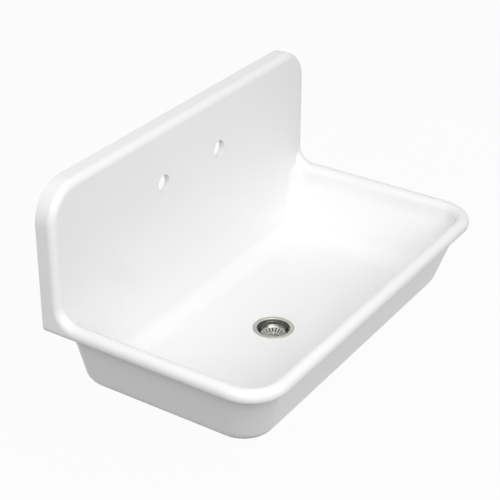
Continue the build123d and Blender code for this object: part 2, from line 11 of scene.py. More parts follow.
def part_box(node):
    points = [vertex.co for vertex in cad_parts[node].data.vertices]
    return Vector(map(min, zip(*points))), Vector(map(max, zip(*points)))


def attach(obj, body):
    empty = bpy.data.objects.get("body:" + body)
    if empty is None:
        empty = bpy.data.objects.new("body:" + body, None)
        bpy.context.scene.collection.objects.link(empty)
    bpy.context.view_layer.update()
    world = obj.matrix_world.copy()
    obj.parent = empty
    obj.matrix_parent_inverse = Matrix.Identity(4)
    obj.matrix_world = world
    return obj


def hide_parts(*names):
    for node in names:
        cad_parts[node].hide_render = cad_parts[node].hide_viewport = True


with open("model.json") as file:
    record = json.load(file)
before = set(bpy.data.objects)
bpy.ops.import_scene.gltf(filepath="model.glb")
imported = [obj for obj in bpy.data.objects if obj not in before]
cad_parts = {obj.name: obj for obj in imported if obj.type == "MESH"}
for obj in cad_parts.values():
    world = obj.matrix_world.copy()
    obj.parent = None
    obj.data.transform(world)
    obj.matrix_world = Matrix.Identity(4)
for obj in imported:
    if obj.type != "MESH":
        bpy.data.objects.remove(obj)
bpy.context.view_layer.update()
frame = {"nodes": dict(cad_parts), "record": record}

bl_info = {
    "name": "Wall-hung kitchen sink",
    "version": (1, 0, 0),
    "blender": (4, 5, 0),
    "location": "View3D > Sidebar > Sink",
    "description": "A cast-iron kitchen sink with its hangers, basket strainer and tailpiece",
    "category": "Object",
}

# Lengths are in metres and angles in radians, except where a line says otherwise.
MILLIMETRE = 0.001
MERGE_DISTANCE = 0.002 * MILLIMETRE
HAIR = 0.05 * MILLIMETRE
FLAT_ANGLE = math.radians(0.2)
HARD_ANGLE = math.radians(50)
FULL_TURN = 2 * math.pi
MOUNTS = {mount["name"]: mount for mount in frame["record"]["mounts"]}

# Casting
_, CAST_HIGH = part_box("sink_body")
PANEL_HEIGHT = 320 * MILLIMETRE
RIM_HEIGHT = 31 * MILLIMETRE
RIM_LEVEL = CAST_HIGH.z - PANEL_HEIGHT + RIM_HEIGHT
_, PANEL_FRONT, HOLE_LEVEL = MOUNTS["faucet_holes"]["pos_m"]
HOLE_RADIUS = MOUNTS["faucet_holes"]["dims"]["hole_r_mm"] * MILLIMETRE
HOLE_SPACING = MOUNTS["faucet_holes"]["dims"]["spacing_x_mm"] * MILLIMETRE
HOLE_CUTS = 3
COVE_LOW = Vector((385, -80, -239)) * MILLIMETRE
COVE_HIGH = Vector((427, -41, -168)) * MILLIMETRE
COVE_EDGE = 17 * MILLIMETRE
COVE_ROUNDS = 10

# Strainer and tailpiece
FLANGE_LOW, FLANGE_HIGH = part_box("strainer_body")
DRAIN_MIDDLE = (FLANGE_LOW + FLANGE_HIGH) / 2
DRAIN_TOP = Vector((DRAIN_MIDDLE.x, DRAIN_MIDDLE.y, FLANGE_HIGH.z))
FLANGE_WIDTH = 7 * MILLIMETRE
FLANGE_SHEET = 1.5 * MILLIMETRE
RECESS_GAP = 1 * MILLIMETRE
NECK_LENGTH = 29.8 * MILLIMETRE
NECK_WALL = 1.5 * MILLIMETRE
CUP_WALL = 2 * MILLIMETRE
LEDGE_DROP = 7 * MILLIMETRE
CUP_DEPTH = 37 * MILLIMETRE
CUP_CORNER = 5 * MILLIMETRE
SHELL_BOTTOM = -CUP_DEPTH - CUP_WALL
OUTLET_RADIUS = 20 * MILLIMETRE
SPOUT_RADIUS = 23.8 * MILLIMETRE
SPOUT_FREE = 8 * MILLIMETRE
THREAD_DEPTH = 0.7 * MILLIMETRE
THREAD_LAP = 0.1 * MILLIMETRE
THREAD_END = 0.8 * MILLIMETRE
THREAD_SHARE = 0.45
NUT_FIT = 0.1 * MILLIMETRE
TUBE_RADIUS = MOUNTS["tailpiece_end"]["dims"]["r_mm"] * MILLIMETRE
TUBE_SHEET = 1.2 * MILLIMETRE

# Basket and stopper
SHEET = 1 * MILLIMETRE
SHOULDER_DROP = 4.4 * MILLIMETRE
WAIST_RADIUS = 28.15 * MILLIMETRE
WAIST_RISE = 7.35 * MILLIMETRE
BASKET_FLOOR_RADIUS = 14.9 * MILLIMETRE
BASKET_WALL_RADIUS = 33.1 * MILLIMETRE
POST_FIT = 0.1 * MILLIMETRE
SLOT_COUNT = 20
SLOT_SECTORS = 6
SLOT_INNER = 17 * MILLIMETRE
SLOT_OUTER = 27.3 * MILLIMETRE
SLOT_HALF = 1.1 * MILLIMETRE
SLOT_END_ROWS = (0.1 * MILLIMETRE, 0.35 * MILLIMETRE, 0.7 * MILLIMETRE, 1.1 * MILLIMETRE)

# How finely round pieces are turned
TURN_STEPS = 96
THREAD_STEPS = 48
CORNER_SEGMENTS = 4

# Refraction of the enamel, the primer and the soft pieces
ENAMEL_IOR = 1.52
PRIMER_IOR = 1.5
SOFT_IOR = 1.45

# Where the ground coat takes over from the white enamel
DOWN_START, DOWN_FULL = -0.45, -0.8
BACK_START, BACK_FULL = 0.4, 0.8
HOLLOW_START, HOLLOW_FULL = 1.25 * PANEL_FRONT, 0.9 * PANEL_FRONT

# How dark the darker shade of each metal or paint is, as a share of its colour
PRIMER_SHADE = 0.84
FLANGE_SHADE = 0.82
CUP_SHADE = 0.7
CONE_SHADE = 0.75
WALL_SHADE = 0.6
PLATING_SHADE = 0.8

# What lines, smudges and worn spots add to a roughness, or take from it
WORN_GLOSS = 0.12
FLANGE_MATT = 0.1
CUP_SMUDGE_MATT = 0.08
LINE_MATT = 0.05
WALL_GLOSS = 0.06
BASKET_SMUDGE_MATT = 0.1
PLATING_MATT = 0.1
BLOOM_MATT = 0.12

# Heights of the small reliefs, and how wide the steel's own colour runs into the painted shade of the
# strainer's cup and of the basket's wall
SAND_RELIEF = 0.2 * MILLIMETRE
WORN_RELIEF = 0.4
FLANGE_RELIEF = 0.01 * MILLIMETRE
BASKET_RELIEF = 0.008 * MILLIMETRE
MOUTH_BLUR = 0.4 * MILLIMETRE
WAIST_START = WAIST_RADIUS - 0.5 * MILLIMETRE
WAIST_FULL = WAIST_RADIUS + 1.5 * MILLIMETRE

# Sockets that are used by number, because their names repeat
MIX_FACTOR = 0
MIX_COLOUR_A = 6
MIX_COLOUR_B = 7
MIX_COLOUR_RESULT = 2
MIX_SHADER_FACTOR = 0
MIX_SHADER_FIRST = 1
MIX_SHADER_SECOND = 2
WHITE = (1, 1, 1, 1)


class Signal:
    """A value that runs through a finish. Sums on it add the Math nodes that work them out."""

    def __init__(self, nodes, socket):
        self.nodes = nodes
        self.socket = socket

    def math(self, operation, *values):
        """The result of a Math node."""
        return self.nodes.node("ShaderNodeMath", {"operation": operation}, dict(enumerate(values)))

    def __add__(self, other):
        return self.math("ADD", self, other)

    def __sub__(self, other):
        return self.math("SUBTRACT", self, other)

    def __rsub__(self, other):
        return self.math("SUBTRACT", other, self)

    def __mul__(self, other):
        return self.math("MULTIPLY", self, other)

    __radd__ = __add__
    __rmul__ = __mul__

    def root(self):
        """The square root of the value."""
        return self.math("SQRT", self)

    def larger(self, other):
        """The larger of two values."""
        return self.math("MAXIMUM", self, other)

    def between(self, low, high):
        """How far the value has come from low to high, from 0 to 1."""
        inputs = {"Value": self, "From Min": low, "From Max": high}
        return self.nodes.node("ShaderNodeMapRange", {"clamp": True}, inputs, "Result")


class Nodes:
    """A node tree that is emptied and built up again."""

    def __init__(self, tree):
        self.tree = tree
        self.tree.nodes.clear()

    def node(self, kind, settings, inputs, result=0):
        """Adds a node: its settings first, then its sockets by name or number. Returns one of its outputs."""
        node = self.tree.nodes.new(kind)
        for setting, value in settings.items():
            setattr(node, setting, value)
        for key, value in inputs.items():
            self.feed(node.inputs[key], value)
        return Signal(self, node.outputs[result] if node.outputs else None)

    def feed(self, socket, value):
        """Links a signal to a socket, or sets the socket to a plain value."""
        if isinstance(value, Signal):
            self.tree.links.new(value.socket, socket)
        else:
            socket.default_value = value

    def mix_shaders(self, factor, first, second):
        """One shader turning into another."""
        inputs = {MIX_SHADER_FACTOR: factor, MIX_SHADER_FIRST: first, MIX_SHADER_SECOND: second}
        return self.node("ShaderNodeMixShader", {}, inputs)

    def shown_rays(self):
        """1 for rays that come from the camera, metal or glass, and 0 for those that only carry light."""
        rays = ("Is Camera Ray", "Is Glossy Ray", "Is Transmission Ray")
        seen, mirrored, through = [self.node("ShaderNodeLightPath", {}, {}, ray) for ray in rays]
        return seen.larger(mirrored).larger(through)


class Finish(Nodes):
    """A material with one main shader, whose constants are set on the shader itself."""

    def __init__(self, name, **constants):
        self.material = bpy.data.materials.new(name)
        self.material.use_nodes = True
        super().__init__(self.material.node_tree)
        self.output = self.tree.nodes.new("ShaderNodeOutputMaterial")
        self.shader = self.tree.nodes.new("ShaderNodeBsdfPrincipled")
        self.tree.links.new(self.shader.outputs["BSDF"], self.output.inputs["Surface"])
        for socket_name, value in constants.items():
            self.shader.inputs[socket_name.replace("_", " ")].default_value = value

    def place(self):
        """The point on the piece, in the frame that all pieces share."""
        return self.node("ShaderNodeTexCoord", {}, {}, "Object")

    def facing(self):
        """The way the surface faces, in that same frame."""
        return self.node("ShaderNodeTexCoord", {}, {}, "Normal")

    def part(self, vector, axis):
        """One of a vector's three numbers."""
        return self.node("ShaderNodeSeparateXYZ", {}, {"Vector": vector}, axis)

    def noise(self, vector, scale, detail, roughness=0.5):
        """Soft noise at so many lumps to the metre."""
        inputs = {"Vector": vector, "Scale": scale, "Detail": detail, "Roughness": roughness}
        return self.node("ShaderNodeTexNoise", {}, inputs, "Fac")

    def line_noise(self, value, scale, detail):
        """Noise along one number, for lines that run round a piece."""
        inputs = {"W": value, "Scale": scale, "Detail": detail}
        return self.node("ShaderNodeTexNoise", {"noise_dimensions": "1D"}, inputs, "Fac")

    def mix(self, factor, first, second):
        """One colour turning into another."""
        inputs = {MIX_FACTOR: factor, MIX_COLOUR_A: opaque(first), MIX_COLOUR_B: opaque(second)}
        return self.node("ShaderNodeMix", {"data_type": "RGBA"}, inputs, MIX_COLOUR_RESULT)

    def darken(self, factor, colour, level):
        """A colour turning into its own darker shade, at a share of its level."""
        return self.mix(factor, colour, [number * level for number in colour])

    def radius(self):
        """Distance from the drain's axis."""
        place = self.place()
        along = self.part(place, "X") - DRAIN_TOP.x
        across = self.part(place, "Y") - DRAIN_TOP.y
        return (along * along + across * across).root()

    def set(self, socket_name, value):
        """Feeds one of the main shader's sockets."""
        self.feed(self.shader.inputs[socket_name], value)

    def bump(self, height, depth):
        """Raises the surface by a height signal times a depth in metres."""
        self.set("Normal", self.node("ShaderNodeBump", {}, {"Height": height, "Distance": depth}))


def opaque(colour):
    """A colour of three numbers as the four that a socket takes. A signal stays as it is."""
    return colour if isinstance(colour, Signal) else (*colour, 1)


def enamel_finish():
    """Glossy white enamel, turning to a rough grey ground coat under and behind the casting."""
    settings = bpy.context.scene.sink_enamel
    finish = Finish("enamel", IOR=ENAMEL_IOR)
    place = finish.place()
    facing = finish.facing()
    under = finish.part(facing, "Z").between(DOWN_START, DOWN_FULL)
    to_wall = finish.part(facing, "Y").between(BACK_START, BACK_FULL)
    behind = to_wall * finish.part(place, "Y").between(HOLLOW_START, HOLLOW_FULL)
    ground = under.larger(behind)
    clouds = finish.noise(place, scale=5, detail=3)
    grain = finish.noise(place, scale=900, detail=3, roughness=0.6)
    wipe = finish.noise(place, scale=14, detail=4, roughness=0.6).between(low=0.4, high=0.7)
    peel = finish.noise(place, scale=160, detail=1.5, roughness=0.4)
    white = finish.mix(clouds, settings.colour, settings.cloud_colour)
    coat = finish.mix(grain.between(low=0.35, high=0.7), settings.ground_colour, settings.ground_shade)
    gloss = settings.roughness + wipe * settings.wear
    finish.set("Base Color", finish.mix(ground, white, coat))
    finish.set("Roughness", gloss + ground * (settings.ground_roughness - gloss))
    finish.bump(peel * settings.peel + grain * ground * settings.sand, MILLIMETRE)
    return finish.material


def hanger_finish():
    """Grey primer on a rough iron casting, worn to metal in small spots."""
    settings = bpy.context.scene.sink_fittings
    finish = Finish("hanger_paint", IOR=PRIMER_IOR)
    place = finish.place()
    worn = finish.noise(place, scale=180, detail=5, roughness=0.65).between(low=0.62, high=0.66)
    tone = finish.noise(place, scale=40, detail=3)
    sand = finish.noise(place, scale=700, detail=3, roughness=0.6)
    paint = finish.darken(tone, settings.primer_colour, PRIMER_SHADE)
    finish.set("Base Color", finish.mix(worn, paint, settings.iron_colour))
    finish.set("Metallic", worn)
    finish.set("Roughness", settings.primer_roughness - worn * WORN_GLOSS)
    finish.bump(sand - worn * WORN_RELIEF, SAND_RELIEF)
    return finish.material


def strainer_finish():
    """Stainless steel with fine lines round the drain's axis: a satin flange and spout, and a cup whose dark
    colour is painted shade and a painted dark reflection.
    """
    settings = bpy.context.scene.sink_steel
    finish = Finish("strainer_steel", Metallic=1.0)
    place = finish.place()
    level = finish.part(place, "Z")
    radius = finish.radius()
    lines = finish.line_noise(radius + level, scale=2600, detail=3)
    smudges = finish.noise(place, scale=90, detail=3, roughness=0.6)
    flange = finish.darken(lines, settings.flange_colour, FLANGE_SHADE)
    # cup: painted shade and a painted dark reflection inside the strainer's cup, varied by random smudges
    cup = finish.darken(smudges, settings.cup_painted_shade, CUP_SHADE)
    spout_top = DRAIN_TOP.z + SHELL_BOTTOM
    spout = level.between(spout_top, spout_top - MILLIMETRE)
    outside = radius.between(MOUTH_RADIUS - MOUTH_BLUR, MOUTH_RADIUS + MOUTH_BLUR).larger(spout)
    # outside is 1 on the flange and spout and 0 in the cup, where the colour is painted shade
    finish.set("Base Color", finish.mix(outside, cup, flange))
    matt = outside * FLANGE_MATT + smudges * CUP_SMUDGE_MATT + lines * LINE_MATT
    finish.set("Roughness", settings.roughness + matt)
    finish.bump(lines, FLANGE_RELIEF)
    return finish.material


def basket_finish():
    """Pressed stainless steel: a glossier wall whose dark colour is painted shade and a painted dark
    reflection, and a bright satin on its slotted cone.
    """
    settings = bpy.context.scene.sink_steel
    finish = Finish("basket_steel", Metallic=1.0)
    place = finish.place()
    radius = finish.radius()
    smudges = finish.noise(place, scale=110, detail=4, roughness=0.6)
    lines = finish.line_noise(radius, scale=3200, detail=2)
    cone = finish.darken(lines, settings.cone_colour, CONE_SHADE)
    # wall: painted shade and a painted dark reflection on the basket's wall, varied by random smudges
    wall = finish.darken(smudges, settings.basket_wall_painted_shade, WALL_SHADE)
    # outside is 1 on the basket's wall, where the colour is painted shade, and 0 on the cone
    outside = radius.between(WAIST_START, WAIST_FULL)
    finish.set("Base Color", finish.mix(outside, cone, wall))
    finish.set("Roughness", settings.roughness - outside * WALL_GLOSS + smudges * BASKET_SMUDGE_MATT)
    finish.bump(lines, BASKET_RELIEF)
    return finish.material


def plated_finish(name, colour, roughness, grain_scale, grain_depth):
    """Plated or bare metal with a light grain."""
    finish = Finish(name, Metallic=1.0)
    place = finish.place()
    tone = finish.noise(place, scale=60, detail=4, roughness=0.6)
    finish.set("Base Color", finish.darken(tone, colour, PLATING_SHADE))
    finish.set("Roughness", roughness + tone * PLATING_MATT)
    finish.bump(finish.noise(place, scale=grain_scale, detail=3), grain_depth)
    return finish.material


def soft_finish(name, colour, bloom, roughness, grain_scale, grain_depth):
    """Rubber, putty, fibre or plastic: a matt surface with a fine grain and a paler bloom."""
    finish = Finish(name, IOR=SOFT_IOR)
    place = finish.place()
    tone = finish.noise(place, scale=120, detail=4, roughness=0.6)
    finish.set("Base Color", finish.mix(tone.between(low=0.35, high=0.7), colour, bloom))
    finish.set("Roughness", roughness + tone * BLOOM_MATT)
    finish.bump(finish.noise(place, scale=grain_scale, detail=3), grain_depth)
    return finish.material


class Section:
    """A round piece's outer radius, and its top and bottom from the level of the bowl's floor."""

    def __init__(self, node):
        low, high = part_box(node)
        self.radius = (high.x - low.x) / 2
        self.top = high.z - DRAIN_TOP.z
        self.bottom = low.z - DRAIN_TOP.z


STRAINER = Section("strainer_body")
NECK_RADIUS = STRAINER.radius - FLANGE_WIDTH
MOUTH_RADIUS = NECK_RADIUS - NECK_WALL
CUP_RADIUS = MOUTH_RADIUS - CUP_WALL


def joined_copy(node):
    """A bmesh of a CAD node, with its loose triangles joined and its flat faces made whole."""
    mesh = bmesh.new()
    mesh.from_mesh(frame["nodes"][node].data)
    for layer in list(mesh.loops.layers.uv):
        mesh.loops.layers.uv.remove(layer)
    bmesh.ops.remove_doubles(mesh, verts=mesh.verts, dist=MERGE_DISTANCE)
    bmesh.ops.dissolve_limit(mesh, angle_limit=FLAT_ANGLE, verts=mesh.verts, edges=mesh.edges)
    return mesh


def hard_edges(mesh):
    """The edges that look like edges, where two faces meet at a clear angle."""
    return [edge for edge in mesh.edges if edge.calc_face_angle(0) > HARD_ANGLE]


def round_off(mesh, edges, radius, segments=2):
    """Rounds some edges of a bmesh."""
    bmesh.ops.bevel(
        mesh,
        geom=edges,
        offset=radius,
        affect="EDGES",
        segments=segments,
        profile=0.5,
        material=-1,
        clamp_overlap=True,
    )


def rounded_copy(node, edge_radius):
    """A joined copy of a CAD node with its hard edges rounded off."""
    mesh = joined_copy(node)
    round_off(mesh, hard_edges(mesh), edge_radius)
    return mesh


def drain_point(radius, level):
    """A point on the strainer's section, at a distance from the axis and a height over the bowl's floor."""
    return DRAIN_TOP + Vector((radius, 0, level))


def spin_round(mesh, geometry, turn, steps, climb=0.0):
    """Spins part of a bmesh round the drain's axis, and closes it where it meets itself."""
    bmesh.ops.spin(
        mesh,
        geom=geometry,
        cent=DRAIN_TOP,
        axis=(0, 0, 1),
        dvec=(0, 0, climb),
        angle=turn,
        steps=steps,
        use_merge=climb == 0,
        use_normal_flip=False,
        use_duplicate=False,
    )


def turned(outline, closed=True, steps=TURN_STEPS):
    """A round piece from its section. Each point of the outline has a radius, a level and a corner radius."""
    mesh = bmesh.new()
    corners = [mesh.verts.new(drain_point(radius, level)) for radius, level, _ in outline]
    following = corners[1:] + corners[:1] if closed else corners[1:]
    for corner, after in zip(corners, following):
        mesh.edges.new((corner, after))
    for corner, (_, _, rounding) in zip(corners, outline):
        if rounding > 0:
            bmesh.ops.bevel(
                mesh,
                geom=[corner],
                offset=rounding,
                affect="VERTICES",
                segments=CORNER_SEGMENTS,
                profile=0.5,
                material=-1,
                clamp_overlap=True,
            )
    spin_round(mesh, mesh.verts[:] + mesh.edges[:], FULL_TURN, steps)
    bmesh.ops.remove_doubles(mesh, verts=mesh.verts, dist=MERGE_DISTANCE)
    bmesh.ops.recalc_face_normals(mesh, faces=mesh.faces)
    return mesh


def turned_ring(section, bore, rounding):
    """A flat ring in the space of its CAD node, with its edges rounded."""
    return turned(
        [
            (bore, section.top, rounding),
            (section.radius, section.top, rounding),
            (section.radius, section.bottom, rounding),
            (bore, section.bottom, rounding),
        ]
    )


def add_thread(mesh, radius, top, bottom, pitch):
    """Winds a thread's ridge down a neck, from one level to another."""
    ridge = bmesh.new()
    reach = THREAD_SHARE * pitch
    root = radius - THREAD_DEPTH - THREAD_LAP
    points = ((root, top - 2 * reach), (radius, top - reach), (root, top))
    start = ridge.faces.new([ridge.verts.new(drain_point(*point)) for point in points])
    turns = (top - bottom - 2 * reach) / pitch
    steps = round(THREAD_STEPS * turns)
    spin_round(ridge, [start, *start.edges, *start.verts], FULL_TURN * turns, steps, -pitch * turns / steps)
    bmesh.ops.holes_fill(ridge, edges=[edge for edge in ridge.edges if edge.is_boundary], sides=len(points))
    bmesh.ops.recalc_face_normals(ridge, faces=ridge.faces)
    data = bpy.data.meshes.new("thread")
    ridge.to_mesh(data)
    ridge.free()
    mesh.from_mesh(data)
    bpy.data.meshes.remove(data)


def show(mesh, node, body, material):
    """Makes a bmesh the piece that stands for a CAD node, shaded smooth between its hard edges."""
    for face in mesh.faces:
        face.smooth = True
    for edge in mesh.edges:
        edge.smooth = edge.calc_face_angle(0) < HARD_ANGLE
    data = bpy.data.meshes.new(node + "_form")
    mesh.to_mesh(data)
    mesh.free()
    if "custom_normal" in data.attributes:
        data.attributes.remove(data.attributes["custom_normal"])
    data.materials.append(material)
    piece = bpy.data.objects.new(node + "_form", data)
    bpy.context.scene.collection.objects.link(piece)
    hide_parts(node)
    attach(piece, body)
    return piece


def shade_evenly(piece):
    """Keeps flat faces flat to the eye beside their rounded edges."""
    shading = piece.modifiers.new("Even shading", "WEIGHTED_NORMAL")
    shading.mode = "FACE_AREA"
    shading.keep_sharp = True


def colour_property(name, description, default):
    """A colour of three numbers."""
    return FloatVectorProperty(
        name=name,
        description=description,
        default=default,
        subtype="COLOR",
        size=3,
        min=0,
        max=1,
    )


def place_property(name, description, default):
    """A point in metres."""
    return FloatVectorProperty(
        name=name,
        description=description,
        default=default,
        subtype="TRANSLATION",
        unit="LENGTH",
    )


def length_property(name, description, default):
    """A length in metres."""
    return FloatProperty(
        name=name,
        description=description,
        default=default,
        min=0,
        unit="LENGTH",
        precision=5,
    )


def share_property(name, description, default):
    """A number from 0 to 1."""
    return FloatProperty(
        name=name,
        description=description,
        default=default,
        min=0,
        max=1,
        subtype="FACTOR",
    )


def number_property(name, description, default):
    """A number of 0 or more, with no unit of its own."""
    return FloatProperty(name=name, description=description, default=default, min=0)


def angle_property(name, description, degrees):
    """An angle, whose default is given in degrees."""
    return FloatProperty(
        name=name,
        description=description,
        default=math.radians(degrees),
        unit="ROTATION",
    )


class SINK_PG_forms(PropertyGroup):
    """Small sizes of the finished pieces."""

    hole_edge: length_property("Faucet hole edge", "Rounding of the faucet holes in front", 3 * MILLIMETRE)
    recess_edge: length_property("Drain edge", "Rounding of the recess for the flange", 0.8 * MILLIMETRE)
    iron_edge: length_property("Iron edge", "Rounding of the hangers' edges", 0.8 * MILLIMETRE)
    nut_edge: length_property("Nut edge", "Rounding of the nuts' edges", 0.6 * MILLIMETRE)
    washer_edge: length_property("Washer edge", "Rounding of washers and seals", 0.3 * MILLIMETRE)
    slot_edge: length_property("Slot edge", "Rounding of the basket's cut edges", 0.2 * MILLIMETRE)
    neck_pitch: length_property("Neck thread", "Pitch of the strainer's neck", 1.8 * MILLIMETRE)
    spout_pitch: length_property("Spout thread", "Pitch of the strainer's spout", 2.2 * MILLIMETRE)


class SINK_PG_enamel(PropertyGroup):
    """Enamel on the casting."""

    colour: colour_property("Enamel", "Colour of the white enamel", (0.9, 0.902, 0.893))
    cloud_colour: colour_property("Enamel cloud", "Colour the enamel drifts to", (0.88, 0.886, 0.882))
    ground_colour: colour_property("Ground coat", "Colour of the coat under the sink", (0.6, 0.6, 0.58))
    ground_shade: colour_property("Ground coat shade", "Darker grain of that coat", (0.46, 0.46, 0.45))
    roughness: share_property("Roughness", "Roughness of clean enamel", 0.17)
    wear: share_property("Wear", "Extra roughness where it is wiped", 0.06)
    ground_roughness: share_property("Ground roughness", "Roughness of the ground coat", 0.55)
    peel: share_property("Orange peel", "Height of the ripples in the enamel, in millimetres", 0.02)
    sand: share_property("Sand", "Height of the sand grain under the casting, in millimetres", 0.25)


class SINK_PG_steel(PropertyGroup):
    """Steel of the strainer and its basket."""

    flange_colour: colour_property("Flange", "Colour of the strainer's flange", (0.6, 0.595, 0.55))
    # Painted shade: a dark colour standing for shade and a dark reflection inside the strainer's cup
    cup_painted_shade: colour_property("Cup", "Colour inside the strainer's cup", (0.16, 0.155, 0.14))
    # Painted shade: a dark colour standing for shade and a dark reflection on the basket's wall
    basket_wall_painted_shade: colour_property("Basket wall", "Colour of the basket's wall", (0.2, 0.2, 0.175))
    cone_colour: colour_property("Basket cone", "Colour of the basket's slotted cone", (0.56, 0.555, 0.53))
    knob_colour: colour_property("Knob", "Colour of the knob", (0.6, 0.6, 0.59))
    roughness: share_property("Roughness", "Roughness of the steel", 0.2)


class SINK_PG_fittings(PropertyGroup):
    """Colours of the hangers, nuts, seals and tailpiece."""

    primer_colour: colour_property("Primer", "Colour of the hangers' primer", (0.42, 0.43, 0.44))
    primer_roughness: share_property("Primer roughness", "Roughness of the hangers' primer", 0.5)
    iron_colour: colour_property("Iron", "Colour of the hangers where they are worn", (0.62, 0.61, 0.59))
    zinc_colour: colour_property("Zinc", "Colour of the cast nuts", (0.5, 0.5, 0.49))
    chrome_colour: colour_property("Chrome", "Colour of the tailpiece", (0.5, 0.505, 0.515))
    brass_colour: colour_property("Brass", "Colour of the stopper's nut", (0.62, 0.45, 0.2))
    putty_colour: colour_property("Putty", "Colour of the putty", (0.5, 0.47, 0.41))
    putty_bloom: colour_property("Putty bloom", "Paler patches of the putty", (0.58, 0.55, 0.49))
    rubber_colour: colour_property("Rubber", "Colour of the gasket", (0.022, 0.022, 0.023))
    rubber_bloom: colour_property("Rubber bloom", "Paler patches of the gasket", (0.045, 0.045, 0.046))
    fibre_colour: colour_property("Fibre", "Colour of the friction ring", (0.4, 0.27, 0.15))
    fibre_bloom: colour_property("Fibre bloom", "Paler patches of that ring", (0.5, 0.36, 0.22))
    plastic_colour: colour_property("Plastic", "Colour of the tailpiece's washer", (0.78, 0.77, 0.72))
    plastic_bloom: colour_property("Plastic bloom", "Paler patches of that washer", (0.83, 0.82, 0.78))


class SINK_PG_stage(PropertyGroup):
    """Floor, light and camera."""

    floor_drop: length_property("Floor drop", "Height of the rim above the floor", 0.9)
    floor_size: length_property("Floor size", "Half the width of the floor", 20)
    floor_colour: colour_property("Floor", "Colour of the floor to the camera", (0.95, 0.95, 0.95))
    floor_bounce: colour_property("Floor bounce", "Colour that the floor gives to light", (0.2, 0.2, 0.2))
    floor_white: share_property("Floor white", "Share of plain white that the camera sees on it", 0.93)
    ambient: share_property("Ambient", "Strength of the light from all round", 0.47)
    key: number_property("Key light", "Power of the lamp above the front, in watts", 98)
    side: number_property("Side light", "Power of the lamp at the left, in watts", 38)
    key_place: place_property("Key place", "Where the key lamp hangs", (-1.75, -2.9, 2.4))
    side_place: place_property("Side place", "Where the side lamp hangs", (-3.3, -1.0, 2.6))
    lamp_size: length_property("Lamp size", "Width of each round lamp", 3.2)
    camera_place: place_property(
        "Camera place", "Where the camera stands", (-2.23765, -1.64543, 1.29595)
    )
    yaw: angle_property("Yaw", "Turn to the right of straight ahead", 56.96)
    pitch: angle_property("Pitch", "Tilt down", 29.37)
    roll: angle_property("Roll", "Tilt sideways", 0.33)
    lens: number_property("Lens", "Focal length, in millimetres", 103.06)
    sensor: number_property("Sensor", "Width of the camera's sensor, in millimetres", 36)


class SINK_OT_casting(Operator):
    """Enamelled casting: rolled rim, bowl, back panel and the hooks behind it"""

    bl_idname = "sink.casting"
    bl_label = "Casting"

    def execute(self, context):
        forms = context.scene.sink_forms
        mesh = joined_copy("sink_body")
        for side in (-1, 1):
            self.smooth_hole(mesh, Vector((side * HOLE_SPACING / 2, 0, HOLE_LEVEL)))
        self.ease_coves(mesh)
        front_rims = self.edges_near(mesh, lambda point: abs(point.y - PANEL_FRONT) < HAIR)
        round_off(mesh, front_rims, forms.hole_edge, CORNER_SEGMENTS)
        recess_radius = STRAINER.radius + RECESS_GAP
        recess_rim = self.edges_near(mesh, lambda point: self.at_recess(point, recess_radius))
        round_off(mesh, recess_rim, forms.recess_edge)
        shade_evenly(show(mesh, "sink_body", "fixture", enamel_finish()))
        return {"FINISHED"}

    def at_recess(self, point, radius):
        """Whether a point lies on the upper edge of the recess for the flange."""
        offset = point - DRAIN_TOP
        return abs(math.hypot(offset.x, offset.y) - radius) < HAIR and abs(offset.z) < HAIR

    def ease_coves(self, mesh):
        """Melts the small steps where the bowl's corner coves fade out on the panel."""
        steps = [vert for vert in mesh.verts if self.in_cove(vert)]
        for _ in range(COVE_ROUNDS):
            bmesh.ops.smooth_vert(
                mesh,
                verts=steps,
                factor=0.5,
                use_axis_x=True,
                use_axis_y=True,
                use_axis_z=True,
            )

    def in_cove(self, vert):
        """Whether a point lies among the small faces at the end of a corner cove."""
        place = Vector((abs(vert.co.x), vert.co.y, vert.co.z))
        inside = all(low < number < high for low, number, high in zip(COVE_LOW, place, COVE_HIGH))
        return inside and all(edge.calc_length() < COVE_EDGE for edge in vert.link_edges)

    def edges_near(self, mesh, test):
        """Hard edges whose two ends pass a test."""
        return [edge for edge in hard_edges(mesh) if all(test(vert.co) for vert in edge.verts)]

    def smooth_hole(self, mesh, centre):
        """Gives a faucet hole more sides, and puts its new points on the circle."""

        def gap(point):
            return math.hypot(point.x - centre.x, point.z - centre.z) - HOLE_RADIUS

        rims = self.edges_near(mesh, lambda point: abs(gap(point)) < HAIR)
        rims = [edge for edge in rims if abs(edge.verts[0].co.y - edge.verts[1].co.y) < HAIR]
        made = bmesh.ops.subdivide_edges(mesh, edges=rims, cuts=HOLE_CUTS, use_grid_fill=True)
        for vert in made["geom_inner"]:
            if isinstance(vert, bmesh.types.BMVert):
                reach = HOLE_RADIUS / (HOLE_RADIUS + gap(vert.co))
                vert.co.x = centre.x + (vert.co.x - centre.x) * reach
                vert.co.z = centre.z + (vert.co.z - centre.z) * reach


class SINK_OT_hangers(Operator):
    """The two painted wall hangers"""

    bl_idname = "sink.hangers"
    bl_label = "Hangers"

    def execute(self, context):
        paint = hanger_finish()
        for node in ("wall_hanger_left", "wall_hanger_right"):
            mesh = rounded_copy(node, context.scene.sink_forms.iron_edge)
            shade_evenly(show(mesh, node, "fixture", paint))
        return {"FINISHED"}


